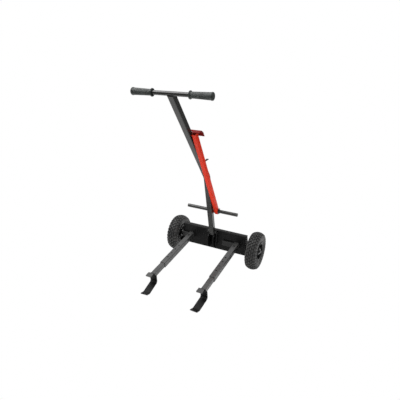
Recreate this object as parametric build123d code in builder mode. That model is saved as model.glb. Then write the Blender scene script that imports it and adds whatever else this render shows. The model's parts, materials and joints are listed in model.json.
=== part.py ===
from build123d import *
import os
from math import cos, radians, sin

os.makedirs("parts", exist_ok=True)

# Two-wheeled lift dolly with a T handle. X runs along the axle (right wheel at +X), the forks
# point towards -Y, Z is up. The tyres and the two cradles stand on z = 0, and the origin is on
# that floor, at the middle of the dolly's length and width. Sizes in millimetres.

# ---- driving dimensions -------------------------------------------------------------------
FRONT_REACH = 551.0          # axle to the tips of the cradles
TYRE_RADIUS = 108.0
TYRE_WIDTH = 63.0
HALF_TRACK = 249.0           # dolly's middle plane to each tyre's middle plane
AXLE_Y = (FRONT_REACH - TYRE_RADIUS) / 2

AXLE_RADIUS = 7.95
BEARING_BORE_RADIUS = 8.0
BEARING_RADIUS = 17.5
BEARING_WIDTH = 11.0
HUB_RADIUS = 20.5
HUB_LENGTH = 46.0
RIM_SHEET = 2.0
RIM_FLANGE_RADIUS = 54.0
RIM_WELL_RADIUS = 43.0
RIM_BOLT_CIRCLE = 30.0
RIM_BOLTS = 4

BEAM_HALF = 199.0            # half of the beam's length
BEAM_FRONT = AXLE_Y - 35.0
BEAM_DEPTH = 26.0
BEAM_BOTTOM = 75.5
BEAM_TOP = 194.5
BEAM_SHEET = 4.0

TUBE_RADIUS = 9.5            # handlebar and crossbar
TUBE_WALL = 1.8
MAST_SIZE = 28.0
MAST_WALL = 2.0
MAST_FOOT = (AXLE_Y - 49.9, 176.0)       # points of the mast's centre line, (y, z)
MAST_BEND = (AXLE_Y - 157.5, 539.8)
HANDLE = (AXLE_Y - 528.1, 969.9)
MAST_BEND_RADIUS = 70.0

GRIP_INNER = 86.0            # middle plane to the grip's flange
GRIP_OUTER = 189.0
CHEEK_SHEET = 4.5
CROSSBAR_HALF = 150.0
CROSSBAR_Z = 327.3

LEG_WIDTH = 20.0
LEG_DEPTH = 25.0
LEG_WALL = 1.5
LEG_X = 27.5                 # middle plane of the leg
LEG_LENGTH = 555.0           # pivot to the tube's upper end
LEG_TAIL = 14.0              # pivot to the tube's lower end
LEG_LEAN = 32.3              # degrees forward of upright, stowed
LEG_SLEEVE_RADIUS = 10.9
FOOT_WIDTH = 52.0
FOOT_KNEE = 4.0              # bend of the foot plate, behind the leg's middle
HOOK_AT = 366.0              # pivot to the hook's finger, along the leg
RIVET_RADIUS = 1.6

FORK_X = 144.7               # middle plane of each fork arm
ARM_PITCH = 9.28             # degrees the arms fall towards their tips
ARM_SIZE = 30.0
ARM_WALL = 2.0
ARM_LENGTH = 325.0
ARM_AXIS_Z = 129.4           # arm's centre line where it meets the beam
FORK_SIZE = 25.0
FORK_WALL = 2.0
FORK_TIP = 421.0             # beam's face to the fork tube's end, along the arm
FORK_LENGTH = 330.0
PIN_HOLES = (150.0, 190.0, 230.0, 270.0)
PIN_HOLE_RADIUS = 4.2
BUTTON_RADIUS = 3.9
BUTTON_HOLE = 2              # which pin hole the snap button faces

STRAP_WIDTH = 37.0
STRAP_THICKNESS = 5.0
STRAP_CREASE_Z = 25.0        # height of the bend below the drop plate
STRAP_BEND = 12.0
STRAP_FALL = 17.0            # degrees the flat run falls towards the floor
LIP_RISE = 14.0              # degrees above level
STRAP_SHIFT = {-1: 6.0, 1: 5.0}          # straps sit right of their arms
STRAP_TURN = {-1: 4.0, 1: -3.0}          # degrees each strap is turned towards +X
CLEARANCE = 0.3

# ---- derived values -----------------------------------------------------------------------
pitch_sin = sin(radians(ARM_PITCH))
pitch_cos = cos(radians(ARM_PITCH))
along_arm = Vector(0, -pitch_cos, -pitch_sin)
above_arm = Vector(0, -pitch_sin, pitch_cos)
foot_point = Vector(0, *MAST_FOOT)
bend_point = Vector(0, *MAST_BEND)
handle_point = Vector(0, *HANDLE)
lower_up = (bend_point - foot_point).normalized()
upper_up = (handle_point - bend_point).normalized()
lower_back = Vector(0, lower_up.Z, -lower_up.Y)


def lower_mast(height):
    """Point of the lower mast's centre line at a height."""
    return foot_point + lower_up * ((height - foot_point.Z) / lower_up.Z)


mast_back = lower_mast(CROSSBAR_Z).Y + MAST_SIZE / 2 / lower_up.Z
crossbar_y = mast_back + TUBE_RADIUS / lower_up.Z
leg_up = Vector(0, -sin(radians(LEG_LEAN)), cos(radians(LEG_LEAN)))
leg_back = Vector(0, leg_up.Z, -leg_up.Y)
leg_pivot = Vector(LEG_X, crossbar_y, CROSSBAR_Z)
leg_side = Plane(leg_pivot, x_dir=leg_up, z_dir=(-1, 0, 0))


def save(part, name):
    """Label one finished piece and write its STEP file."""
    part.label = name
    export_step(part, f"parts/{name}.step")


def square_tube(size, wall, corner):
    """Square tube section with rounded corners, in the current sketch."""
    RectangleRounded(size, size, corner)
    RectangleRounded(size - 2 * wall, size - 2 * wall, max(corner - wall, 0.4), mode=Mode.SUBTRACT)


# ---- chassis ------------------------------------------------------------------------------
def make_beam():
    """Sheet-steel channel, open to the rear, that carries the axle, the mast and the arms."""
    middle = (BEAM_BOTTOM + BEAM_TOP) / 2
    height = BEAM_TOP - BEAM_BOTTOM
    section = Plane((-BEAM_HALF, BEAM_FRONT, middle), x_dir=(0, 1, 0), z_dir=(1, 0, 0))
    with BuildPart() as beam:
        with BuildSketch(section):
            with BuildLine():
                half = height / 2 - BEAM_SHEET / 2
                front = BEAM_SHEET / 2
                FilletPolyline(
                    (BEAM_DEPTH, -half), (front, -half), (front, half), (BEAM_DEPTH, half),
                    radius=BEAM_SHEET * 1.2)
                offset(amount=BEAM_SHEET / 2, side=Side.BOTH)
            make_face()
        extrude(amount=2 * BEAM_HALF)
    save(beam.part, "beam")


def make_axle_bracket(side, name):
    """End plate inside the beam, with a lobe behind the beam that holds the axle."""
    sheet = 6.0
    plate = Plane((side * (BEAM_HALF - sheet / 2), AXLE_Y, TYRE_RADIUS), x_dir=(0, 1, 0), z_dir=(1, 0, 0))
    front = BEAM_FRONT + BEAM_SHEET - AXLE_Y
    low = BEAM_BOTTOM + BEAM_SHEET - TYRE_RADIUS
    high = BEAM_TOP - BEAM_SHEET - TYRE_RADIUS
    lobe = 19.0
    corner = 3.0
    with BuildPart() as bracket:
        with BuildSketch(plate):
            with BuildLine():
                Polyline(
                    (front, high - corner), (front, low + corner), (front + corner, low), (0, low), (lobe, 0),
                    (-lobe / 2, high), (front + corner, high), (front, high - corner))
            make_face()
            Circle(lobe)
            Circle(AXLE_RADIUS, mode=Mode.SUBTRACT)
        extrude(amount=sheet / 2, both=True)
    save(bracket.part, name)


def make_axle():
    """Through axle, drilled near both ends for the cotter pins."""
    half = cotter_x() + 4.0
    with BuildPart() as axle:
        with BuildSketch(Plane((-half, AXLE_Y, TYRE_RADIUS), x_dir=(0, 1, 0), z_dir=(1, 0, 0))):
            Circle(AXLE_RADIUS)
        extrude(amount=2 * half)
        chamfer(axle.edges().group_by(Axis.X)[0] + axle.edges().group_by(Axis.X)[-1], 1.2)
        with BuildSketch(Plane.XY.offset(TYRE_RADIUS)):
            with Locations((-cotter_x(), AXLE_Y), (cotter_x(), AXLE_Y)):
                Circle(1.9)
        extrude(amount=2 * AXLE_RADIUS, both=True, mode=Mode.SUBTRACT)
    save(axle.part, "axle")


def cotter_x():
    """Distance of the cotter pins from the middle plane."""
    return HALF_TRACK + HUB_LENGTH / 2 + 5.2


def make_ring_pair(name, near, far, radius):
    """One collar on the axle at each side, from near to far along the axle."""
    with BuildPart() as rings:
        for side in (-1, 1):
            with BuildSketch(Plane((side * near, AXLE_Y, TYRE_RADIUS), x_dir=(0, 1, 0), z_dir=(side, 0, 0))):
                Circle(radius)
                Circle(AXLE_RADIUS, mode=Mode.SUBTRACT)
            extrude(amount=far - near)
    save(rings.part, name)


def make_cotter_pins():
    """Cotter pins through the axle's ends: a shank below and an eye above the axle."""
    wire = 1.6
    eye = 4.0
    with BuildPart() as pins:
        for side in (-1, 1):
            with BuildSketch(Plane((side * cotter_x(), AXLE_Y, TYRE_RADIUS - 15.0))):
                Circle(wire)
            extrude(amount=15.0 + AXLE_RADIUS + 2.5)
            top = Vector(side * cotter_x(), AXLE_Y, TYRE_RADIUS + AXLE_RADIUS + 1.5 + eye)
            with Locations(Location(top, (0, 90, 0))):
                Torus(eye, 0.8 * wire)
    save(pins.part, "axle_cotter_pins")


def make_mast():
    """Bent square tube from the beam's front face up to the handlebar."""
    top = handle_point - upper_up * 4.0
    with BuildPart() as mast:
        with BuildLine() as centre_line:
            FilletPolyline(foot_point, bend_point, top, radius=MAST_BEND_RADIUS)
        with BuildSketch(Plane(foot_point, x_dir=(1, 0, 0), z_dir=lower_up)):
            square_tube(MAST_SIZE, MAST_WALL, 3.5)
        sweep(path=centre_line.line)
        with BuildSketch(Plane(handle_point, x_dir=(0, 1, 0), z_dir=(1, 0, 0))):
            Circle(TUBE_RADIUS)
        extrude(amount=MAST_SIZE, both=True, mode=Mode.SUBTRACT)
        with BuildSketch(Plane(mast_bolt_point(), x_dir=(0, 1, 0), z_dir=(1, 0, 0))):
            Circle(5.0)
        extrude(amount=MAST_SIZE, both=True, mode=Mode.SUBTRACT)
    save(mast.part, "mast")


def mast_bolt_point():
    """Axis of the bolt that ties the mast's foot between the cheeks."""
    return lower_mast(190.0)


def make_mast_cheek(side, name):
    """Side plate welded to the beam's face, beside the mast's foot."""
    inner = MAST_SIZE / 2 + 0.2
    front = BEAM_FRONT - 41.0
    with BuildPart() as cheek:
        with BuildSketch(Plane((side * inner, 0, 0), x_dir=(0, side, 0), z_dir=(side, 0, 0))):
            with BuildLine():
                corners = [
                    (BEAM_FRONT, 92.0), (BEAM_FRONT - 25.0, 92.0), (front, 108.0), (front, 165.0),
                    (BEAM_FRONT - 13.0, 184.0), (BEAM_FRONT, 190.0)]
                FilletPolyline([(side * y, z) for y, z in corners], radius=6.0, close=True)
            make_face()
            with Locations((side * mast_bolt_point().Y, mast_bolt_point().Z)):
                Circle(5.0, mode=Mode.SUBTRACT)
        extrude(amount=CHEEK_SHEET)
    save(cheek.part, name)


def make_mast_bolt():
    """Hex bolt through both cheeks and the mast, head on the right."""
    outer = MAST_SIZE / 2 + 0.2 + CHEEK_SHEET
    point = mast_bolt_point()
    with BuildPart() as bolt:
        with BuildSketch(Plane((-outer - 12.0, point.Y, point.Z), x_dir=(0, 1, 0), z_dir=(1, 0, 0))):
            Circle(4.9)
        extrude(amount=2 * outer + 12.0)
        with BuildSketch(Plane((outer, point.Y, point.Z), x_dir=(0, 1, 0), z_dir=(1, 0, 0))):
            RegularPolygon(radius=9.2, side_count=6)
        extrude(amount=6.4)
        chamfer(bolt.faces().sort_by(Axis.X)[-1].edges(), 0.8)
    save(bolt.part, "mast_bolt")
    with BuildPart() as nut:
        with BuildSketch(Plane((-outer, point.Y, point.Z), x_dir=(0, 1, 0), z_dir=(-1, 0, 0))):
            RegularPolygon(radius=9.2, side_count=6)
            Circle(4.9, mode=Mode.SUBTRACT)
        extrude(amount=8.0)
    save(nut.part, "mast_nut")


def make_handlebar():
    """Round handlebar tube welded across the mast's top."""
    half = GRIP_OUTER - 4.0
    with BuildPart() as bar:
        with BuildSketch(Plane((-half, handle_point.Y, handle_point.Z), x_dir=(0, 1, 0), z_dir=(1, 0, 0))):
            Circle(TUBE_RADIUS)
            Circle(TUBE_RADIUS - TUBE_WALL, mode=Mode.SUBTRACT)
        extrude(amount=2 * half)
    save(bar.part, "handlebar")


def make_grip(side, name):
    """Flared rubber grip: flange, tapered body, end bead and a closed end."""
    across = Plane((0, handle_point.Y, handle_point.Z), x_dir=(side, 0, 0), z_dir=(0, -side, 0))
    with BuildPart() as grip:
        with BuildSketch(across):
            with BuildLine():
                Polyline(
                    (GRIP_INNER, TUBE_RADIUS), (GRIP_INNER, 16.0), (GRIP_INNER + 1.5, 17.2),
                    (GRIP_INNER + 5.5, 17.2), (GRIP_INNER + 7.5, 13.6), (GRIP_OUTER - 8.0, 15.2),
                    (GRIP_OUTER - 6.5, 16.4), (GRIP_OUTER - 2.0, 16.4), (GRIP_OUTER, 14.0), (GRIP_OUTER, 0),
                    (GRIP_OUTER - 4.0, 0), (GRIP_OUTER - 4.0, TUBE_RADIUS), (GRIP_INNER, TUBE_RADIUS))
            make_face()
        revolve(axis=Axis(handle_point, (1, 0, 0)))
    save(grip.part, name)


def make_crossbar():
    """Round step bar welded behind the mast, which the prop leg turns on, and its end caps."""
    pin_x = leg_washers()[1][1] + 2.3
    with BuildPart() as bar:
        with BuildSketch(Plane((-CROSSBAR_HALF, crossbar_y, CROSSBAR_Z), x_dir=(0, 1, 0), z_dir=(1, 0, 0))):
            Circle(TUBE_RADIUS)
            Circle(TUBE_RADIUS - TUBE_WALL, mode=Mode.SUBTRACT)
        extrude(amount=2 * CROSSBAR_HALF)
        with BuildSketch(Plane((pin_x, crossbar_y, CROSSBAR_Z))):
            Circle(1.9)
        extrude(amount=2 * TUBE_RADIUS, both=True, mode=Mode.SUBTRACT)
    save(bar.part, "crossbar")
    with BuildPart() as caps:
        for side in (-1, 1):
            end = Plane((side * CROSSBAR_HALF, crossbar_y, CROSSBAR_Z), x_dir=(0, 1, 0), z_dir=(side, 0, 0))
            with BuildSketch(end):
                Circle(TUBE_RADIUS)
            extrude(amount=2.0)
            with BuildSketch(end):
                Circle(TUBE_RADIUS - TUBE_WALL)
            extrude(amount=-12.0)
        fillet(caps.edges().group_by(Axis.X)[0] + caps.edges().group_by(Axis.X)[-1], 1.2)
    save(caps.part, "crossbar_caps")
    with BuildPart() as pin:
        with BuildSketch(Plane((pin_x, crossbar_y, CROSSBAR_Z - 15.0))):
            Circle(1.7)
        extrude(amount=15.0 + TUBE_RADIUS + 2.5)
        with Locations(Location((pin_x, crossbar_y, CROSSBAR_Z + TUBE_RADIUS + 5.5), (0, 90, 0))):
            Torus(4.0, 1.3)
    save(pin.part, "leg_cotter_pin")


def leg_washers():
    """Start and end of the washers on both sides of the prop leg's sleeve, along the crossbar."""
    half = LEG_WIDTH / 2 + 1.5
    inner = (LEG_X - half - CLEARANCE - 1.2, LEG_X - half - CLEARANCE)
    outer = (LEG_X + half + CLEARANCE, LEG_X + half + CLEARANCE + 2.0)
    return (inner, outer)


def make_leg_washers():
    with BuildPart() as washers:
        for start, end in leg_washers():
            with BuildSketch(Plane((start, crossbar_y, CROSSBAR_Z), x_dir=(0, 1, 0), z_dir=(1, 0, 0))):
                Circle(14.0)
                Circle(TUBE_RADIUS, mode=Mode.SUBTRACT)
            extrude(amount=end - start)
    save(washers.part, "leg_washers")


# ---- wheels -------------------------------------------------------------------------------
def wheel_section(side):
    """Plane of a wheel's section: local x runs outwards along the axle, local y is the radius."""
    return Plane((side * HALF_TRACK, AXLE_Y, TYRE_RADIUS), x_dir=(side, 0, 0), z_dir=(0, -side, 0))


def wheel_face(side):
    """Plane across a wheel's middle, facing outwards."""
    return Plane((side * HALF_TRACK, AXLE_Y, TYRE_RADIUS), x_dir=(0, 1, 0), z_dir=(side, 0, 0))


def wheel_axis():
    return Axis((0, AXLE_Y, TYRE_RADIUS), (1, 0, 0))


def make_tyre(side, name):
    """Pneumatic tyre: round crown, full sidewalls, open inside for the inner tube."""
    half = TYRE_WIDTH / 2
    bead = 46.5
    flange = RIM_FLANGE_RADIUS + 1.5
    crown = TYRE_RADIUS - 15.0
    shoulder = (half - 3.5, TYRE_RADIUS - 9.0)
    with BuildPart() as tyre:
        with BuildSketch(wheel_section(side)):
            with BuildLine():
                ThreePointArc((-shoulder[0], shoulder[1]), (0, TYRE_RADIUS), shoulder)
                ThreePointArc(shoulder, (half, 78.0), (half - 6.5, flange))
                Polyline((half - 6.5, flange), (half - 6.5, bead), (half - 13.0, bead))
                ThreePointArc((half - 13.0, bead), (half - 7.0, 76.0), (half - 12.0, crown))
                ThreePointArc((half - 12.0, crown), (0, crown + 6.0), (12.0 - half, crown))
                ThreePointArc((12.0 - half, crown), (7.0 - half, 76.0), (13.0 - half, bead))
                Polyline((13.0 - half, bead), (6.5 - half, bead), (6.5 - half, flange))
                ThreePointArc((6.5 - half, flange), (-half, 78.0), (-shoulder[0], shoulder[1]))
            make_face()
        revolve(axis=wheel_axis())
    save(tyre.part, name)


def make_inner_tube(side, name):
    """Inflated rubber inner tube inside the tyre."""
    with BuildPart() as tube:
        with BuildSketch(wheel_section(side)):
            with Locations((0, 72.5)):
                Ellipse(15.0, 23.0)
                Ellipse(13.0, 21.0, mode=Mode.SUBTRACT)
        revolve(axis=wheel_axis())
    save(tube.part, name)


def make_rim_half(side, facing, name):
    """Pressed half rim: disc at the wheel's middle, drum and rolled flange. facing 1 is the outer half."""
    half = TYRE_WIDTH / 2
    with BuildPart() as rim:
        with BuildSketch(wheel_section(side)):
            with BuildLine():
                FilletPolyline(
                    (facing * RIM_SHEET / 2, HUB_RADIUS + RIM_SHEET / 2), (facing * RIM_SHEET / 2, RIM_WELL_RADIUS - 4.0),
                    (facing * 6.0, RIM_WELL_RADIUS), (facing * (half - 5.0), RIM_WELL_RADIUS + 1.5),
                    (facing * (half - 5.0), RIM_FLANGE_RADIUS - 4.0), (facing * (half - 2.0), RIM_FLANGE_RADIUS),
                    radius=1.8)
                offset(amount=RIM_SHEET / 2, side=Side.BOTH)
            make_face()
        revolve(axis=wheel_axis())
        with BuildSketch(wheel_face(side)):
            with PolarLocations(RIM_BOLT_CIRCLE, RIM_BOLTS, start_angle=45):
                Circle(3.1)
        extrude(amount=facing * 8.0, mode=Mode.SUBTRACT)
        if facing > 0:
            with BuildSketch(valve_plane(side)):
                Circle(4.0)
            extrude(amount=14.0, both=True, mode=Mode.SUBTRACT)
    save(rim.part, name)


def valve_plane(side):
    """Plane on the outer drum, above the axle, with its normal pointing at the axle."""
    point = (side * (HALF_TRACK + 9.0), AXLE_Y, TYRE_RADIUS + RIM_WELL_RADIUS)
    return Plane(point, x_dir=(1, 0, 0), z_dir=(side * 0.3, 0, -1))


def make_valve(side, name):
    """Rubber valve stem with its cap, pointing inwards from the outer drum."""
    with BuildPart() as valve:
        with BuildSketch(valve_plane(side).offset(-6.5)):
            Circle(3.9)
        extrude(amount=16.0)
        with BuildSketch(valve_plane(side).offset(9.5)):
            Circle(2.9)
        extrude(amount=9.0, taper=4)
    save(valve.part, name)


def make_hub(side, name):
    """Hub tube through both rim halves."""
    with BuildPart() as hub:
        with BuildSketch(wheel_face(side).offset(-HUB_LENGTH / 2)):
            Circle(HUB_RADIUS)
            Circle(BEARING_RADIUS, mode=Mode.SUBTRACT)
        extrude(amount=HUB_LENGTH)
        chamfer(hub.edges().group_by(Axis.X)[0] + hub.edges().group_by(Axis.X)[-1], 0.8)
    save(hub.part, name)


def make_bearings(side, name):
    """Two bearings pressed into the hub's ends, running on the axle."""
    with BuildPart() as bearings:
        for start in (-HUB_LENGTH / 2 + 1.0, HUB_LENGTH / 2 - 1.0 - BEARING_WIDTH):
            with BuildSketch(wheel_face(side).offset(start)):
                Circle(BEARING_RADIUS)
                Circle(BEARING_BORE_RADIUS, mode=Mode.SUBTRACT)
            extrude(amount=BEARING_WIDTH)
    save(bearings.part, name)


def make_rim_bolts(side, bolt_name, nut_name):
    """Bolts that join the two rim halves, heads on the inner side and nuts on the outer side."""
    sheet = 2 * RIM_SHEET
    with BuildPart() as bolts:
        with BuildSketch(wheel_face(side).offset(-sheet / 2)):
            with PolarLocations(RIM_BOLT_CIRCLE, RIM_BOLTS, start_angle=45):
                Circle(3.0)
        extrude(amount=sheet + 9.0)
        with BuildSketch(wheel_face(side).offset(-sheet / 2)):
            with PolarLocations(RIM_BOLT_CIRCLE, RIM_BOLTS, start_angle=45):
                RegularPolygon(radius=5.8, side_count=6)
        extrude(amount=-4.2)
    save(bolts.part, bolt_name)
    with BuildPart() as nuts:
        with BuildSketch(wheel_face(side).offset(sheet / 2)):
            with PolarLocations(RIM_BOLT_CIRCLE, RIM_BOLTS, start_angle=45):
                RegularPolygon(radius=5.8, side_count=6)
                Circle(3.0, mode=Mode.SUBTRACT)
        extrude(amount=5.0)
    save(nuts.part, nut_name)


# ---- fork arms ----------------------------------------------------------------------------
def arm_point(side, along, above):
    """Point of an arm's middle plane, measured along and above its centre line."""
    return Vector(side * FORK_X, BEAM_FRONT, ARM_AXIS_Z) + along_arm * along + above_arm * above


def arm_section(side, along):
    """Plane across an arm: local x is world X, local y points up from the arm."""
    return Plane(arm_point(side, along, 0), x_dir=(1, 0, 0), z_dir=along_arm)


def arm_top(side, above):
    """Plane parallel to an arm's top: local y points back along the arm."""
    return Plane(arm_point(side, 0, above), x_dir=(1, 0, 0), z_dir=above_arm)


def arm_side(side):
    """Middle plane of an arm: local x runs along the arm, local y up from it."""
    return Plane(arm_point(side, 0, 0), x_dir=along_arm, z_dir=(-1, 0, 0))


def make_arm_tube(side, name):
    """Outer square tube with the pin holes in its top."""
    rear = BEAM_FRONT
    with BuildPart() as arm:
        with BuildSketch(arm_section(side, -6.0)):
            square_tube(ARM_SIZE, ARM_WALL, 3.0)
        extrude(amount=ARM_LENGTH + 6.0)
        split(bisect_by=Plane((0, rear, 0), x_dir=(1, 0, 0), z_dir=(0, -1, 0)), keep=Keep.TOP)
        with BuildSketch(arm_top(side, ARM_SIZE / 2)):
            with Locations((0, -31.0)):
                Circle(5.5)
            with Locations([(0, -hole) for hole in PIN_HOLES]):
                Circle(PIN_HOLE_RADIUS)
        extrude(amount=-2 * ARM_WALL, mode=Mode.SUBTRACT)
    save(arm.part, name)


def make_arm_ledge(side, name):
    """Steel bar welded to the beam's face beside the arm's root, flush with the arm's top."""
    start = side * FORK_X - ARM_SIZE / 2
    length = min(67.0, start + BEAM_HALF)
    top = ARM_AXIS_Z + ARM_SIZE / 2
    with BuildPart() as ledge:
        with BuildSketch(Plane((start, BEAM_FRONT, top), x_dir=(0, -1, 0), z_dir=(-1, 0, 0))):
            with BuildLine():
                FilletPolyline((0, 0), (12.0, 0), (12.0, -30.0), (0, -30.0), radius=2.0, close=True)
            make_face()
        extrude(amount=length)
    save(ledge.part, name)


def make_fork_tube(side, name):
    """Inner square tube that slides in the arm."""
    with BuildPart() as fork:
        with BuildSketch(arm_section(side, FORK_TIP - FORK_LENGTH)):
            square_tube(FORK_SIZE, FORK_WALL, 2.5)
        extrude(amount=FORK_LENGTH)
        with BuildSketch(arm_top(side, FORK_SIZE / 2)):
            with Locations([(0, -hole) for hole in PIN_HOLES]):
                Circle(BUTTON_RADIUS + 0.1)
        extrude(amount=-2 * FORK_WALL, mode=Mode.SUBTRACT)
    save(fork.part, name)


def make_stop_tab(side, name):
    """Flat tab at the fork's end, level with its top and reaching past its left side."""
    thickness = 5.0
    with BuildPart() as tab:
        with BuildSketch(arm_top(side, FORK_SIZE / 2)):
            with Locations((-8.0, -FORK_TIP - 14.5)):
                RectangleRounded(32.0, 29.0, 2.0)
        extrude(amount=-thickness)
    save(tab.part, name)


def make_strap(side, name):
    """Bent flat bar: a drop from the fork's end, a run down to the floor and an upturned lip."""
    fall, rise, turn = radians(STRAP_FALL), radians(LIP_RISE), radians(STRAP_TURN[side])
    clear = STRAP_WIDTH / 2 * abs(sin(turn))
    head = arm_point(side, FORK_TIP + STRAP_THICKNESS / 2 + clear, FORK_SIZE / 2 - 7.5)
    head_drop = head.Z - STRAP_CREASE_Z
    crease = -head_drop * pitch_sin / pitch_cos
    toe_z = STRAP_THICKNESS / 2 + STRAP_BEND * (1 - cos((fall - rise) / 2) / cos((fall + rise) / 2))
    toe = crease + (STRAP_CREASE_Z - toe_z) * cos(fall) / sin(fall)
    reach = (head.Y - AXLE_Y + FRONT_REACH) / cos(turn) - STRAP_THICKNESS / 2 - clear
    ahead = Vector(sin(turn), -cos(turn), 0)
    section = Plane(
        (side * FORK_X + STRAP_SHIFT[side], head.Y, 0), x_dir=ahead, z_dir=(-cos(turn), -sin(turn), 0))
    with BuildPart() as strap:
        with BuildSketch(section):
            with BuildLine():
                FilletPolyline(
                    (0, head.Z), (crease, STRAP_CREASE_Z), (toe, toe_z),
                    (reach, toe_z + (reach - toe) * sin(rise) / cos(rise)), radius=STRAP_BEND)
                offset(amount=STRAP_THICKNESS / 2, side=Side.BOTH)
            make_face()
        extrude(amount=STRAP_WIDTH / 2, both=True)
    save(strap.part, name)


def make_button(side, button_name, spring_name):
    """Snap button pressed level with the fork tube's top, under a pin hole, and its leaf spring."""
    along = PIN_HOLES[BUTTON_HOLE]
    with BuildPart() as button:
        with BuildSketch(arm_top(side, FORK_SIZE / 2 - 8.0)):
            with Locations((0, -along)):
                Circle(BUTTON_RADIUS)
        extrude(amount=8.0)
    save(button.part, button_name)
    with BuildPart() as spring:
        with BuildSketch(arm_side(side)):
            with BuildLine():
                FilletPolyline(
                    (along - 8.0, 3.7), (along + 8.0, 3.7), (along + 45.0, -4.0), (along - 20.0, -9.8), radius=2.5)
                offset(amount=0.5, side=Side.BOTH)
            make_face()
        extrude(amount=5.0, both=True)
    save(spring.part, spring_name)


# ---- prop leg -----------------------------------------------------------------------------
def make_leg():
    """Rectangular tube leg, its sides threaded by the sleeve that turns on the crossbar."""
    with BuildPart() as sleeve:
        with BuildSketch(Plane(leg_pivot, x_dir=(0, 1, 0), z_dir=(1, 0, 0))):
            Circle(LEG_SLEEVE_RADIUS)
            Circle(TUBE_RADIUS + 0.08, mode=Mode.SUBTRACT)
        extrude(amount=LEG_WIDTH / 2 + 1.5, both=True)
    save(sleeve.part, "leg_sleeve")
    front = LEG_DEPTH / 2
    with BuildPart() as leg:
        with BuildSketch(Plane(leg_pivot - leg_up * LEG_TAIL, x_dir=(1, 0, 0), z_dir=leg_up)):
            RectangleRounded(LEG_WIDTH, LEG_DEPTH, 2.5)
            RectangleRounded(LEG_WIDTH - 2 * LEG_WALL, LEG_DEPTH - 2 * LEG_WALL, 1.0, mode=Mode.SUBTRACT)
        extrude(amount=LEG_LENGTH + LEG_TAIL)
        with BuildSketch(Plane(leg_pivot, x_dir=(0, 1, 0), z_dir=(1, 0, 0))):
            Circle(LEG_SLEEVE_RADIUS)
        extrude(amount=LEG_WIDTH, both=True, mode=Mode.SUBTRACT)
        with BuildSketch(leg_side):
            Polygon(
                (LEG_LENGTH - 9.0, -2 * front), (LEG_LENGTH, FOOT_KNEE), (LEG_LENGTH + 9.0, FOOT_KNEE),
                (LEG_LENGTH + 9.0, -2 * front), align=None)
        extrude(amount=LEG_WIDTH, both=True, mode=Mode.SUBTRACT)
        with BuildSketch(leg_rear_plane(front)):
            with Locations([(0, -along) for along in hook_rivets()]):
                Circle(RIVET_RADIUS)
        extrude(amount=-1.5 * LEG_WALL, mode=Mode.SUBTRACT)
    save(leg.part, "prop_leg")


def make_foot():
    """Foot plate on the rear of the leg's end, which curls back and down behind it."""
    thickness = 4.0
    start = FOOT_KNEE - 5.0
    with BuildPart() as foot:
        with BuildSketch(leg_side):
            with BuildLine():
                FilletPolyline(
                    (LEG_LENGTH + thickness / 2, start), (LEG_LENGTH + thickness / 2, 17.0),
                    (LEG_LENGTH - 19.0, 30.5), (LEG_LENGTH - 41.0, 32.5), radius=11.0)
                offset(amount=thickness / 2, side=Side.BOTH)
            make_face()
        extrude(amount=FOOT_WIDTH / 2, both=True)
        beside_mast = LEG_X - MAST_SIZE / 2 - 0.7
        with BuildSketch(leg_side.offset(beside_mast)):
            with Locations((LEG_LENGTH, 0)):
                Rectangle(60.0, 17.0)
                Rectangle(60.0, 60.0, align=(Align.CENTER, Align.MAX))
        extrude(amount=FOOT_WIDTH, mode=Mode.SUBTRACT)
    save(foot.part, "prop_foot")


def hook_rivets():
    """Distances of the hook's rivets from the pivot, along the leg."""
    return (HOOK_AT - 25.0, HOOK_AT - 14.0)


def make_hook():
    """Bent strip riveted to the leg's rear face, its finger pointing back, and its two rivets."""
    back = LEG_DEPTH / 2
    strip = 3.0
    middle = back + strip / 2
    with BuildPart() as hook:
        with BuildSketch(leg_side):
            with BuildLine():
                FilletPolyline(
                    (HOOK_AT - 30.0, middle), (HOOK_AT, middle), (HOOK_AT - 17.0, back + 37.0), radius=4.5)
                offset(amount=strip / 2, side=Side.BOTH)
            make_face()
        extrude(amount=5.0, both=True)
        with BuildSketch(leg_rear_plane(back)):
            with Locations([(0, -along) for along in hook_rivets()]):
                Circle(RIVET_RADIUS)
        extrude(amount=strip, mode=Mode.SUBTRACT)
    save(hook.part, "leg_hook")
    with BuildPart() as rivets:
        with BuildSketch(leg_rear_plane(back - LEG_WALL)):
            with Locations([(0, -along) for along in hook_rivets()]):
                Circle(RIVET_RADIUS)
        extrude(amount=LEG_WALL + strip)
        with BuildSketch(leg_rear_plane(back + strip)):
            with Locations([(0, -along) for along in hook_rivets()]):
                Circle(3.2)
        extrude(amount=1.8, taper=25)
    save(rivets.part, "hook_rivets")


def leg_rear_plane(behind):
    """Plane parallel to the leg's rear face: local y points down the leg."""
    return Plane(leg_pivot + leg_back * behind, x_dir=(1, 0, 0), z_dir=leg_back)


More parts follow.
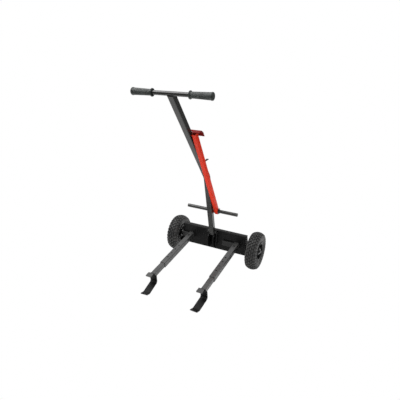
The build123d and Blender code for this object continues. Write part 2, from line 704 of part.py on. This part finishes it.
for wheel_side, wheel_name in ((-1, "left"), (1, "right")):
    make_tyre(wheel_side, f"{wheel_name}_tyre")
    make_inner_tube(wheel_side, f"{wheel_name}_inner_tube")
    make_rim_half(wheel_side, -1, f"{wheel_name}_rim_inner_half")
    make_rim_half(wheel_side, 1, f"{wheel_name}_rim_outer_half")
    make_valve(wheel_side, f"{wheel_name}_valve_stem")
    make_hub(wheel_side, f"{wheel_name}_hub")
    make_bearings(wheel_side, f"{wheel_name}_bearings")
    make_rim_bolts(wheel_side, f"{wheel_name}_rim_bolts", f"{wheel_name}_rim_nuts")
    make_axle_bracket(wheel_side, f"{wheel_name}_axle_bracket")
    make_mast_cheek(wheel_side, f"{wheel_name}_mast_cheek")
    make_grip(wheel_side, f"{wheel_name}_grip")
    make_arm_tube(wheel_side, f"{wheel_name}_arm_tube")
    make_arm_ledge(wheel_side, f"{wheel_name}_arm_ledge")
    make_fork_tube(wheel_side, f"{wheel_name}_fork_tube")
    make_stop_tab(wheel_side, f"{wheel_name}_stop_tab")
    make_strap(wheel_side, f"{wheel_name}_cradle_strap")
    make_button(wheel_side, f"{wheel_name}_snap_button", f"{wheel_name}_button_spring")

make_beam()
make_axle()
make_ring_pair("axle_spacers", BEAM_HALF, HALF_TRACK - HUB_LENGTH / 2 - CLEARANCE, 12.0)
make_ring_pair(
    "axle_washers", HALF_TRACK + HUB_LENGTH / 2 + CLEARANCE, HALF_TRACK + HUB_LENGTH / 2 + 2.8, 15.0)
make_cotter_pins()
make_mast()
make_mast_bolt()
make_handlebar()
make_crossbar()
make_leg_washers()
make_leg()
make_foot()
make_hook()
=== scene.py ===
import json
from math import cos, floor, pi, radians, sin, sqrt, tau

import bpy
from mathutils import Matrix, Vector


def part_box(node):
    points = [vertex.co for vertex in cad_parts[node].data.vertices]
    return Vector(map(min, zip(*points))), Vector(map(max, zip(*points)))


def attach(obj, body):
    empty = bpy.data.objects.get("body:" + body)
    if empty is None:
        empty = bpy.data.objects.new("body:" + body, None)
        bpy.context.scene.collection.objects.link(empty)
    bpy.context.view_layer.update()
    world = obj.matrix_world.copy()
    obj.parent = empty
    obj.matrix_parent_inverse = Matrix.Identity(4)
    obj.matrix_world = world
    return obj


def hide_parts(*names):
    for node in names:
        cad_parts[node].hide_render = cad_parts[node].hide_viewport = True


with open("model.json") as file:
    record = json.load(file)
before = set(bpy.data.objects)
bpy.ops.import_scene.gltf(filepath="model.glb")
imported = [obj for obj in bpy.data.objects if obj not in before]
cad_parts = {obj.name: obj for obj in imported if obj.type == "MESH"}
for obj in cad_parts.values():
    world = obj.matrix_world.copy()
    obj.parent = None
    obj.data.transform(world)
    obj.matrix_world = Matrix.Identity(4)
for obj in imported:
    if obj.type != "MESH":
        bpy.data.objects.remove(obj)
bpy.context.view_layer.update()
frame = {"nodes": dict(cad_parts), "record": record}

# ---- sizes, in metres ---------------------------------------------------------------------
WHEEL_X = 0.249
TYRE_R = 0.108
BEAD_R = 0.0465
RIM_LIP_X = 0.0240
RIM_LIP_R = 0.0538
RIM_LIP_WIRE = 0.0013
SHOULDER_X = 0.0280
SHOULDER_R = 0.0990
LUG_ROWS = 32
LUG_COLUMNS = 5
LUG_DEPTH = 0.0062
BAR_R = 0.0095
WELD_R = 0.0024
COTTER_WIRE = 0.0011
THREAD_PITCH = 0.0015
THREAD_DEPTH = 0.0009
BOLT_FLATS = 0.016
BOLT_HEAD = 0.0064
BOLT_R = 0.0049
AXLE_R = 0.008
ARM_PITCH = radians(9.28)
ARM_HALF = 0.015
FORK_HALF = 0.0125
MAST_HALF = 0.014
MAST_LEAN = radians(49.3)           # upper mast above the level
MAST_RAKE = radians(13.3)           # lower mast from the upright


def middle(node):
    low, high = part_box(node)
    return (Vector(low) + Vector(high)) / 2


AXLE = middle("axle")
BAR = middle("handlebar")
STEP = middle("crossbar")


# ---- materials ----------------------------------------------------------------------------
class Shader:
    """A Principled material and short calls that add nodes to it."""

    def __init__(self, name, colour, rough, metal=0.0, specular=0.5):
        self.material = bpy.data.materials.new(name)
        self.material.use_nodes = True
        self.nodes = self.material.node_tree.nodes
        self.links = self.material.node_tree.links
        self.main = self.nodes["Principled BSDF"]
        self.main.inputs["Base Color"].default_value = (*colour, 1)
        self.main.inputs["Roughness"].default_value = rough
        self.main.inputs["Metallic"].default_value = metal
        self.main.inputs["Specular IOR Level"].default_value = specular
        self.place = self.nodes.new("ShaderNodeTexCoord").outputs["Object"]

    def add(self, kind, **inputs):
        node = self.nodes.new(kind)
        for key, value in inputs.items():
            socket = node.inputs[key.replace("_", " ")]
            if isinstance(value, bpy.types.NodeSocket):
                self.links.new(value, socket)
            else:
                socket.default_value = value
        return node

    def noise(self, scale, detail=4.0, stretch=None):
        place = self.place
        if stretch:
            place = self.add("ShaderNodeMapping", Vector=place, Scale=stretch).outputs[0]
        return self.add("ShaderNodeTexNoise", Vector=place, Scale=scale, Detail=detail).outputs[0]

    def ramp(self, value, low, high, start=0.0, end=1.0):
        node = self.add("ShaderNodeMapRange", Value=value)
        node.inputs["From Min"].default_value = low
        node.inputs["From Max"].default_value = high
        node.inputs["To Min"].default_value = start
        node.inputs["To Max"].default_value = end
        return node.outputs[0]

    def mix(self, factor, first, second):
        node = self.nodes.new("ShaderNodeMix")
        node.data_type = "RGBA"
        self.links.new(factor, node.inputs["Factor"])
        for socket, value in ((node.inputs[6], first), (node.inputs[7], second)):
            if isinstance(value, bpy.types.NodeSocket):
                self.links.new(value, socket)
            else:
                socket.default_value = (*value, 1)
        return node.outputs[2]

    def colour(self, socket):
        self.links.new(socket, self.main.inputs["Base Color"])

    def roughness(self, socket):
        self.links.new(socket, self.main.inputs["Roughness"])

    def bump(self, *layers):
        """Each layer is (height socket, strength, distance in metres)."""
        normal = None
        for height, strength, distance in layers:
            node = self.add("ShaderNodeBump", Height=height, Strength=strength, Distance=distance)
            if normal:
                self.links.new(normal, node.inputs["Normal"])
            normal = node.outputs[0]
        self.links.new(normal, self.main.inputs["Normal"])


def powder_paint(name, colour, dusty, rough, specular=0.5, worn=(0.2, 0.19, 0.18)):
    """Sprayed coat: orange peel, dust, fine scratches and small chips down to a worn tone."""
    paint = Shader(name, colour, rough, specular=specular)
    peel = paint.noise(900.0, 2.0)
    cloud = paint.noise(14.0, 5.0)
    scratch = paint.noise(60.0, 6.0, stretch=(1.0, 9.0, 9.0))
    dust = paint.mix(paint.ramp(cloud, 0.42, 0.72), colour, dusty)
    chips = paint.ramp(paint.noise(240.0, 6.0), 0.735, 0.75)
    paint.colour(paint.mix(chips, dust, worn))
    paint.roughness(paint.ramp(scratch, 0.3, 0.7, rough * 0.82, rough * 1.25))
    paint.bump((peel, 0.16, 0.0004), (scratch, 0.05, 0.0003))
    return paint.material


def rubber(name, colour, dusty, rough=0.62, grain=1400.0, specular=0.4):
    """Moulded rubber: fine grain, a dusty bloom and slightly polished patches."""
    skin = Shader(name, colour, rough, specular=specular)
    bloom = skin.noise(30.0, 6.0)
    skin.colour(skin.mix(skin.ramp(bloom, 0.4, 0.7), colour, dusty))
    skin.roughness(skin.ramp(skin.noise(55.0, 3.0), 0.3, 0.7, rough * 0.85, rough * 1.15))
    skin.bump((skin.noise(grain, 3.0), 0.3, 0.0003), (bloom, 0.1, 0.0006))
    return skin.material


def plated_steel(name, colour, rough, dull):
    """Zinc-plated or turned steel: spangle in its tone, brushed roughness and small pits."""
    steel = Shader(name, colour, rough, metal=1.0)
    spangle = steel.noise(260.0, 3.0)
    brush = steel.noise(120.0, 4.0, stretch=(14.0, 1.0, 1.0))
    steel.colour(steel.mix(steel.ramp(spangle, 0.35, 0.65), colour, dull))
    steel.roughness(steel.ramp(brush, 0.3, 0.7, rough * 0.7, rough * 1.4))
    steel.bump((brush, 0.12, 0.0002), (steel.noise(900.0, 2.0), 0.08, 0.0002))
    return steel.material


def weld_metal(name, colour, heat):
    """Painted weld: the coat over the bead's ripples, with spatter grain."""
    weld = Shader(name, colour, 0.4, specular=0.5)
    grain = weld.noise(500.0, 5.0)
    weld.colour(weld.mix(weld.ramp(grain, 0.4, 0.7), colour, heat))
    weld.roughness(weld.ramp(grain, 0.3, 0.7, 0.32, 0.55))
    weld.bump((grain, 0.35, 0.0005), (weld.noise(1500.0, 2.0), 0.15, 0.0002))
    return weld.material


def moulded_plastic(name, colour):
    plastic = Shader(name, colour, 0.42)
    grain = plastic.noise(1100.0, 3.0)
    plastic.colour(plastic.mix(plastic.ramp(plastic.noise(40.0), 0.4, 0.7), colour, (0.035, 0.035, 0.035)))
    plastic.roughness(plastic.ramp(grain, 0.3, 0.7, 0.36, 0.52))
    plastic.bump((grain, 0.18, 0.0003))
    return plastic.material


LOOKS = {
    "beam_paint": powder_paint("beam_paint", (0.0026, 0.0026, 0.0027), (0.005, 0.005, 0.005), 0.34, specular=0.11),
    "mast_paint": powder_paint("mast_paint", (0.008, 0.008, 0.007), (0.017, 0.017, 0.015), 0.24, specular=0.42),
    "fork_paint": powder_paint("fork_paint", (0.024, 0.024, 0.024), (0.045, 0.045, 0.044), 0.32, specular=0.6),
    "strap_paint": powder_paint("strap_paint", (0.003, 0.003, 0.003), (0.006, 0.006, 0.006), 0.4, specular=0.14),
    "leg_paint": powder_paint(
        "leg_paint", (0.68, 0.026, 0.004), (0.60, 0.030, 0.008), 0.42, specular=0.18, worn=(0.3, 0.03, 0.02)),
    # foot_paint: the leg's red darkened to maroon, painted shade for the foot's shadowed inner face
    "foot_paint": powder_paint("foot_paint", (0.17, 0.005, 0.004), (0.14, 0.007, 0.006), 0.5, specular=0.1),
    "hook_paint": powder_paint("hook_paint", (0.004, 0.004, 0.004), (0.008, 0.008, 0.008), 0.45, specular=0.12),
    "grip_rubber": rubber("grip_rubber", (0.012, 0.016, 0.014), (0.024, 0.030, 0.028), 0.46, 1800.0),
    "tyre_rubber": rubber("tyre_rubber", (0.016, 0.016, 0.016), (0.04, 0.039, 0.037), 0.55),
    "tube_rubber": rubber("tube_rubber", (0.015, 0.015, 0.015), (0.03, 0.03, 0.03), 0.5),
    "rim_paint": powder_paint("rim_paint", (0.004, 0.004, 0.004), (0.009, 0.009, 0.009), 0.34, specular=0.25),
    "bearing_steel": plated_steel("bearing_steel", (0.10, 0.10, 0.10), 0.4, (0.07, 0.07, 0.07)),
    "zinc": plated_steel("zinc", (0.13, 0.13, 0.13), 0.4, (0.09, 0.09, 0.09)),
    "black_oxide": powder_paint("black_oxide", (0.010, 0.010, 0.010), (0.02, 0.02, 0.02), 0.35, specular=0.4),
    "cap_plastic": moulded_plastic("cap_plastic", (0.016, 0.016, 0.016)),
}
# Light grey glossy coat for the rim lips: a painted highlight of the lit rim edge
RIM_LIP_HIGHLIGHT = powder_paint("rim_lip_highlight", (0.12, 0.12, 0.12), (0.16, 0.16, 0.16), 0.28, specular=0.6)
LEDGE = powder_paint("ledge_paint", (0.006, 0.006, 0.006), (0.010, 0.010, 0.010), 0.34, specular=0.25)
WELD = weld_metal("weld_paint", (0.008, 0.008, 0.008), (0.02, 0.02, 0.02))

for part in frame["record"]["subparts"]:
    mesh = frame["nodes"][part["node"]].data
    mesh.materials.clear()
    mesh.materials.append(LEDGE if part["node"].endswith("arm_ledge") else LOOKS[part["material_slot"]])


# ---- mesh building ------------------------------------------------------------------------
def piece(name, verts, faces, body, slot, material=None, stands_for=()):
    """Mesh object from points and faces, riding on a body."""
    data = bpy.data.meshes.new(name)
    data.from_pydata([tuple(v) for v in verts], [], faces)
    data.validate()
    data.materials.append(material or LOOKS[slot])
    data.shade_smooth()
    made = bpy.data.objects.new(name, data)
    bpy.context.scene.collection.objects.link(made)
    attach(made, body)
    if stands_for:
        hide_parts(*stands_for)
    return made


def grid_faces(rows, columns, start=0, closed_rows=False, closed_columns=False):
    """Quads between rows of points, laid out row by row."""
    faces = []
    for i in range(rows if closed_rows else rows - 1):
        for j in range(columns if closed_columns else columns - 1):
            a, b = start + i * columns + j, start + i * columns + (j + 1) % columns
            c = start + ((i + 1) % rows) * columns + (j + 1) % columns
            d = start + ((i + 1) % rows) * columns + j
            faces.append((a, b, c, d))
    return faces


def turned(name, outline, centre, body, slot, steps=96, height=None, **options):
    """Closed outline of (x, radius) turned about the X axis through centre. height moves a point outwards."""
    verts = []
    for i in range(steps):
        angle = tau * i / steps
        for j, (x, r) in enumerate(outline):
            out = r + (height(angle, x, r, j) if height else 0.0)
            verts.append(centre + Vector((x, out * cos(angle), out * sin(angle))))
    faces = grid_faces(steps, len(outline), closed_rows=True, closed_columns=True)
    return piece(name, verts, faces, body, slot, **options)


def tube_along(points, radius, sides=10, closed=False, wave=None):
    """Points and faces of a round tube along a path, with rounded ends. wave scales the radius along it."""
    verts, count = [], len(points)
    normal = None
    for i, point in enumerate(points):
        ahead = points[(i + 1) % count] if closed or i < count - 1 else point
        behind = points[i - 1] if closed or i else point
        tangent = (ahead - behind).normalized()
        if normal is None:
            normal = tangent.orthogonal().normalized()
        normal = (normal - tangent * normal.dot(tangent)).normalized()
        side = tangent.cross(normal)
        size = radius * (wave(i, count) if wave else 1.0)
        for j in range(sides):
            angle = tau * j / sides
            verts.append(point + normal * (size * cos(angle)) + side * (size * sin(angle)))
    faces = grid_faces(count, sides, closed_rows=closed, closed_columns=True)
    if not closed:
        faces.append(tuple(reversed(range(sides))))
        faces.append(tuple(range((count - 1) * sides, count * sides)))
    return verts, faces


def joined(parts):
    """Several (verts, faces) pairs as one."""
    verts, faces = [], []
    for points, polygons in parts:
        faces += [tuple(k + len(verts) for k in polygon) for polygon in polygons]
        verts += points
    return verts, faces


def along_line(corners, step):
    """Points spaced evenly along straight runs between corners."""
    points = []
    for start, end in zip(corners, corners[1:]):
        steps = max(2, int((end - start).length / step))
        points += [start.lerp(end, i / steps) for i in range(steps)]
    return points + [corners[-1]]


def bead(corners, radius=WELD_R, ripple=0.0022):
    """Weld bead with its ripples, along straight runs."""
    step = ripple / 6
    points = along_line([Vector(c) for c in corners], step)

    def swell(i, count):
        ends = min(1.0, 0.35 + min(i, count - 1 - i) / 6)
        return ends * (0.84 + 0.16 * sqrt(abs(sin(pi * i * step / ripple))))

    return tube_along(points, radius, 10, wave=swell)


def smooth_path(points, per_span=8):
    """Catmull-Rom curve through the points."""
    padded = [points[0] * 2 - points[1]] + list(points) + [points[-1] * 2 - points[-2]]
    path = []
    for a, b, c, d in zip(padded, padded[1:], padded[2:], padded[3:]):
        for k in range(per_span):
            t = k / per_span
            path.append(0.5 * (2 * b + (c - a) * t + (2 * a - 5 * b + 4 * c - d) * t ** 2
                               + (3 * b - a - 3 * c + d) * t ** 3))
    return path + [points[-1]]


# ---- tyres --------------------------------------------------------------------------------
def tyre_outline():
    """Closed (x, radius) outline of the tyre. Its first points cross the tread from left to right."""
    crown = 72
    radius = (SHOULDER_X ** 2 + (TYRE_R - SHOULDER_R) ** 2) / (2 * (TYRE_R - SHOULDER_R))
    points = []
    for i in range(crown + 1):
        x = -SHOULDER_X + 2 * SHOULDER_X * i / crown
        points.append((x, TYRE_R - radius + sqrt(radius ** 2 - x ** 2)))
    wall = [(0.0302, 0.0955), (0.0309, 0.0925), (0.0311, 0.0895), (0.0305, 0.0870), (0.0306, 0.0855),
            (0.0315, 0.0842), (0.0315, 0.0780), (0.0307, 0.0772), (0.0300, 0.0710), (0.0282, 0.0645),
            (0.0258, 0.0600), (0.0245, 0.0585), (0.0248, 0.0570), (0.0238, 0.0556), (0.0220, 0.0545),
            (0.0220, 0.0475), (0.0213, BEAD_R), (0.0160, BEAD_R), (0.0160, 0.052), (0.0225, 0.066),
            (0.0240, 0.078), (0.0205, 0.090), (0.008, 0.0945)]
    points += wall + [(-x, r) for x, r in reversed(wall)]
    return points, crown


def lug_height(angle, crown_share):
    """Tread height above the tyre's outline: three rows of blocks between two rows of wide shoulder lugs."""
    across = crown_share * LUG_COLUMNS
    column = min(int(across), LUG_COLUMNS - 1)
    inside = across - column
    shoulder = column in (0, LUG_COLUMNS - 1)
    slant = 0.16 * (inside - 0.5) * (1 if column % 2 else -1)
    turn = angle / tau * LUG_ROWS + (0.5 if column % 2 else 0.0) + slant
    inside_turn = turn - floor(turn)
    edge_turn = 2 * min(inside_turn, 1 - inside_turn)
    edge_across = 2 * min(inside, 1 - inside)
    if shoulder and (inside < 0.5) == (column == 0):
        edge_across = 1.0
    rise_turn = (edge_turn - (0.36 if shoulder else 0.26)) / 0.12
    rise_across = (edge_across - 0.17) / 0.13
    return LUG_DEPTH * (max(0.0, min(1.0, rise_across, rise_turn)) - 1.0)


def make_tyre(side, name):
    outline, crown = tyre_outline()
    centre = Vector((side * WHEEL_X, AXLE.y, AXLE.z))

    def height(angle, x, r, j):
        # the shoulder lugs run a little down both walls
        if j <= crown:
            return lug_height(angle, j / crown)
        return lug_height(angle, 0.0) * 0.7 if r > 0.09 and abs(x) > 0.03 else 0.0

    tyre = turned(f"{name}_tyre_tread", outline, centre, f"{name}_wheel", "tyre_rubber",
                  steps=LUG_ROWS * 18, height=height, stands_for=[f"{name}_tyre"])
    tyre.data.set_sharp_from_angle(angle=radians(32))
    return tyre


def make_rim_lips(side, name):
    """Rolled edge of both rim flanges in a light grey: a painted highlight where the rim edge catches the light."""
    centre = Vector((side * WHEEL_X, AXLE.y, AXLE.z))
    rings = []
    for way in (-1, 1):
        ring = [centre + Vector((way * RIM_LIP_X, RIM_LIP_R * cos(tau * k / 96), RIM_LIP_R * sin(tau * k / 96)))
                for k in range(96)]
        rings.append(tube_along(ring, RIM_LIP_WIRE, 12, closed=True))
    verts, faces = joined(rings)
    piece(f"{name}_rim_lips", verts, faces, f"{name}_wheel", "rim_paint", material=RIM_LIP_HIGHLIGHT)


make_tyre(-1, "left")
make_tyre(1, "right")
make_rim_lips(-1, "left")
make_rim_lips(1, "right")


# ---- grips --------------------------------------------------------------------------------
def make_grip(side, name):
    """Flared grip with fine grooves along it, a flange and a rounded end."""
    low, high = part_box(f"{name}_grip")
    inner, outer = (low[0], high[0]) if side > 0 else (-high[0], -low[0])
    length = outer - inner
    outline = [(inner, BAR_R), (inner, 0.0155), (inner + 0.0008, 0.0168), (inner + 0.0022, 0.0172),
               (inner + 0.0042, 0.0172), (inner + 0.0055, 0.0166), (inner + 0.0062, 0.0145),
               (inner + 0.0075, 0.0134)]
    body_start = len(outline)
    rings = 40
    for i in range(rings + 1):
        share = i / rings
        outline.append((inner + 0.009 + share * (length - 0.019), 0.0131 + 0.0022 * share))
    body_end = len(outline)
    outline += [(outer - 0.0085, 0.0153), (outer - 0.0075, 0.0163), (outer - 0.006, 0.0166),
                (outer - 0.0025, 0.0164),
                (outer - 0.0009, 0.0152), (outer, 0.0128), (outer + 0.0001, 0.006), (outer + 0.0001, 0.0004),
                (outer - 0.004, 0.0004), (outer - 0.004, BAR_R)]
    if side < 0:
        outline = [(-x, r) for x, r in outline]

    def height(angle, x, r, j):
        if not body_start <= j < body_end:
            return 0.0
        share = (j - body_start) / (body_end - 1 - body_start)
        fade = min(1.0, share * 14, (1 - share) * 14)
        return -0.0007 * fade * max(0.0, sin(angle * 24)) ** 2

    return turned(f"{name}_grip_rubber", outline, BAR, "chassis", "grip_rubber", steps=192, height=height,
                  stands_for=[f"{name}_grip"])


make_grip(-1, "left")
make_grip(1, "right")


# ---- fasteners ----------------------------------------------------------------------------
def cotter(places, reach, name, body, node):
    """Split pin at each place, dropped through from above: an eye, two legs side by side, tips bent apart."""
    made = []
    wire = COTTER_WIRE
    for place in places:
        low = place.z - reach
        high = place.z + reach
        for way in (-1, 1):
            leg = [Vector((place.x, place.y + way * 0.0035, high + 0.0075)),
                   Vector((place.x, place.y + way * 0.0046, high + 0.0045)),
                   Vector((place.x, place.y + way * 0.0032, high + 0.0018)),
                   Vector((place.x, place.y + way * 0.0009, high - 0.0010)),
                   Vector((place.x, place.y + way * 0.0009, place.z)),
                   Vector((place.x, place.y + way * 0.0009, low - 0.0002)),
                   Vector((place.x, place.y + way * 0.0028, low - 0.0028)),
                   Vector((place.x, place.y + way * 0.0062, low - 0.0042))]
            top = [Vector((place.x, place.y, high + 0.0092)),
               Vector((place.x, place.y + way * 0.002, high + 0.0088))]
            made.append(tube_along(smooth_path(top + leg), wire, 10))
    verts, faces = joined(made)
    return piece(name, verts, faces, body, "zinc", stands_for=[node])


def pins_of(node):
    """Upright axes of a node's pins: one in its middle, or one at each end of a long node."""
    low, high = (Vector(corner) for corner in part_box(node))
    half = 0.0053
    if high.x - low.x < 4 * half:
        return [Vector(((low.x + high.x) / 2, (low.y + high.y) / 2, 0))]
    return [Vector((x, (low.y + high.y) / 2, 0)) for x in (low.x + half, high.x - half)]


cotter([Vector((p.x, AXLE.y, AXLE.z)) for p in pins_of("axle_cotter_pins")], AXLE_R,
       "axle_split_pins", "chassis", "axle_cotter_pins")
cotter([Vector((p.x, STEP.y, STEP.z)) for p in pins_of("leg_cotter_pin")], BAR_R,
       "leg_split_pin", "chassis", "leg_cotter_pin")


def hexagon(start, end, across, centre, name, slot, body, bore, steps=96):
    """Outline of a hex head or nut with its corners turned down, as a turned form cut by six flats."""
    flat = across / 2
    corner = flat / cos(pi / 6)
    way = 1 if end > start else -1
    chamfer = (corner - flat) * 0.9
    outline = [(start, bore), (start, flat * 0.97), (start + way * 0.0004, corner),
               (end - way * chamfer * 0.55, corner), (end, flat * 0.95), (end, bore)]

    def height(angle, x, r, j):
        if j in (0, len(outline) - 1):
            return 0.0
        local = (angle + pi / 6) % (pi / 3) - pi / 6
        return min(0.0, flat / cos(local) - r)

    made = turned(name, outline, centre, body, slot, steps=steps, height=height)
    made.data.set_sharp_from_angle(angle=radians(28))
    return made


def threaded(start, end, radius, centre, name, body, slot):
    """Threaded shank with a rounded tip: the helix is a rise in the turned surface."""
    steps, rings = 48, int((end - start if end > start else start - end) / THREAD_PITCH * 10)
    outline = [(start, 0.0002)]
    for i in range(rings + 1):
        outline.append((start + (end - start) * i / rings, radius))
    outline += [(end, radius * 0.75), (end + (end - start) * 0.02, 0.0002)]

    def height(angle, x, r, j):
        if j == 0 or j > rings + 1:
            return 0.0
        phase = (x / THREAD_PITCH + angle / tau) % 1.0
        return -THREAD_DEPTH * abs(2 * phase - 1)

    return turned(name, outline, centre, body, slot, steps=steps, height=height)


def make_mast_bolt():
    low, high = (Vector(corner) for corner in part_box("mast_bolt"))
    centre = Vector((0, (low.y + high.y) / 2, (low.z + high.z) / 2))
    nut_low, nut_high = (Vector(corner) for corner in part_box("mast_nut"))
    head = hexagon(high.x - BOLT_HEAD, high.x, BOLT_FLATS, centre,
                   "mast_bolt_head", "black_oxide", "chassis", bore=0.0002)
    shank = threaded(high.x - BOLT_HEAD, low.x, BOLT_R, centre, "mast_bolt_shank", "chassis", "black_oxide")
    nut = hexagon(nut_high.x, nut_low.x, BOLT_FLATS, centre,
                  "mast_bolt_nut", "black_oxide", "chassis", bore=0.0047)
    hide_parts("mast_bolt")
    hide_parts("mast_bolt")
    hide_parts("mast_nut")


make_mast_bolt()


# ---- welds --------------------------------------------------------------------------------
def make_welds():
    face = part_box("beam")[0][1]
    black = []
    for side in (-1, 1):
        cheek_low, cheek_high = (Vector(c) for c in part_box("left_mast_cheek" if side < 0 else "right_mast_cheek"))
        outside = cheek_low.x if side < 0 else cheek_high.x
        black.append(bead([(outside, face, cheek_low.z + 0.004), (outside, face, 0.19)]))
        arm_low, arm_high = (Vector(c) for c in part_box("left_arm_tube" if side < 0 else "right_arm_tube"))
        top = arm_high.z
        bottom = top - 2 * ARM_HALF / cos(ARM_PITCH)
        left, right = arm_low.x + 0.002, arm_high.x - 0.002
        black.append(bead([(left, face, top), (right, face, top)]))
        black.append(bead([(arm_low.x, face, bottom + 0.003), (arm_low.x, face, top - 0.003)]))
        black.append(bead([(arm_high.x, face, bottom + 0.003), (arm_high.x, face, top - 0.003)]))
        black.append(bead([(left, face, bottom), (right, face, bottom)]))
    verts, faces = joined(black)
    piece("beam_welds", verts, faces, "chassis", "beam_paint", material=WELD)


make_welds()


def make_mast_welds():
    """Beads round the mast's joint with the handlebar, and above and below the step bar."""
    beads = []
    down = -MAST_LEAN
    for side in (-1, 1):
        ring = [BAR + Vector((side * MAST_HALF, BAR_R * cos(down + k * 0.1), BAR_R * sin(down + k * 0.1)))
                for k in range(-14, 15)]
        beads.append(bead(ring))
    rear = Vector((0, cos(MAST_RAKE), sin(MAST_RAKE)))
    upward = Vector((0, -sin(MAST_RAKE), cos(MAST_RAKE)))
    for way in (-1, 1):
        place = STEP - rear * (BAR_R - 0.0012) + upward * (way * 0.0048)
        ends = [place + Vector((x, 0, 0)) for x in (-0.0125, 0.0125)]
        beads.append(bead(ends))
    verts, faces = joined(beads)
    piece("mast_welds", verts, faces, "chassis", "mast_paint", material=WELD)


def make_fork_welds(name):
    """Beads on the fork tube's end, along its top and sides against the strap."""
    low, high = (Vector(corner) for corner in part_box(f"{name}_fork_tube"))
    tall = Vector((0, sin(ARM_PITCH), -cos(ARM_PITCH))) * (2 * FORK_HALF)
    left = Vector((low.x, low.y, low.z - tall.z))
    right = Vector((high.x, low.y, low.z - tall.z))
    verts, faces = joined([bead([left, right]), bead([left, left + tall]), bead([right, right + tall])])
    piece(f"{name}_fork_welds", verts, faces, f"{name}_fork", "fork_paint", material=WELD)


make_mast_welds()
make_fork_welds("left")
make_fork_welds("right")


# ---- floor, light and camera --------------------------------------------------------------
def make_floor():
    data = bpy.data.meshes.new("floor")
    sides, reach = 128, 1.6
    rim = [(reach * cos(tau * i / sides), reach * sin(tau * i / sides), 0) for i in range(sides)]
    data.from_pydata(rim, [], [tuple(range(sides))])
    pale = Shader("floor", (0.9, 0.9, 0.9), 0.8, specular=0.1)
    pale.bump((pale.noise(200.0), 0.02, 0.0005))
    white = pale.add("ShaderNodeEmission", Strength=1.0)
    blend = pale.nodes.new("ShaderNodeMixShader")
    pale.links.new(pale.nodes.new("ShaderNodeLightPath").outputs["Is Camera Ray"], blend.inputs[0])
    pale.links.new(pale.main.outputs[0], blend.inputs[1])
    pale.links.new(white.outputs[0], blend.inputs[2])
    pale.links.new(blend.outputs[0], pale.nodes["Material Output"].inputs[0])
    data.materials.append(pale.material)
    floor_piece = bpy.data.objects.new("floor", data)
    bpy.context.scene.collection.objects.link(floor_piece)


def area_light(name, place, target, size, power):
    light = bpy.data.lights.new(name, "AREA")
    light.shape = "RECTANGLE"
    light.size, light.size_y = size
    light.energy = power
    lamp = bpy.data.objects.new(name, light)
    lamp.location = place
    lamp.rotation_mode = "QUATERNION"
    lamp.rotation_quaternion = (Vector(target) - Vector(place)).to_track_quat("-Z", "Y")
    bpy.context.scene.collection.objects.link(lamp)


def make_light():
    """White surround for the eye; what lights the object is bright overhead and dim towards the horizon."""
    world = bpy.data.worlds.new("studio")
    world.use_nodes = True
    tree = world.node_tree
    place = tree.nodes.new("ShaderNodeTexCoord").outputs["Generated"]
    split = tree.nodes.new("ShaderNodeSeparateXYZ")
    tree.links.new(place, split.inputs[0])
    dome = tree.nodes.new("ShaderNodeMapRange")
    dome.inputs["From Min"].default_value = 0.0
    dome.inputs["From Max"].default_value = 0.75
    dome.inputs["To Min"].default_value = 0.22
    dome.inputs["To Max"].default_value = 1.35
    tree.links.new(split.outputs["Z"], dome.inputs["Value"])
    dim = tree.nodes["Background"]
    dim.inputs["Color"].default_value = (1.0, 1.0, 1.0, 1)
    tree.links.new(dome.outputs[0], dim.inputs["Strength"])
    seen = tree.nodes.new("ShaderNodeBackground")
    seen.inputs["Color"].default_value = (1.0, 1.0, 1.0, 1)
    blend = tree.nodes.new("ShaderNodeMixShader")
    tree.links.new(tree.nodes.new("ShaderNodeLightPath").outputs["Is Camera Ray"], blend.inputs[0])
    tree.links.new(dim.outputs[0], blend.inputs[1])
    tree.links.new(seen.outputs[0], blend.inputs[2])
    tree.links.new(blend.outputs[0], tree.nodes["World Output"].inputs[0])
    bpy.context.scene.world = world
    area_light("key", (-1.4, -0.9, 2.9), (0, 0, 0.3), (1.8, 1.8), 75.0)


def make_camera():
    """Camera at the dolly's front right: turned, tilted down and rolled a little."""
    turn, tilt, roll = radians(26.264), radians(19.035), radians(2.116)
    forward = Vector((-sin(turn) * cos(tilt), cos(turn) * cos(tilt), -sin(tilt)))
    level = Vector((cos(turn), sin(turn), 0))
    upright = level.cross(forward)
    right = level * cos(roll) + upright * sin(roll)
    up = upright * cos(roll) - level * sin(roll)
    data = bpy.data.cameras.new("camera")
    data.sensor_width = 36.0
    data.lens = 33.344
    camera = bpy.data.objects.new("camera", data)
    camera.matrix_world = Matrix.Translation((0.7985, -1.626, 1.0551)) @ Matrix(
        (right, up, -forward)).transposed().to_4x4()
    bpy.context.scene.collection.objects.link(camera)
    bpy.context.scene.camera = camera


make_floor()
make_light()
make_camera()
bpy.context.scene.view_settings.view_transform = "Standard"
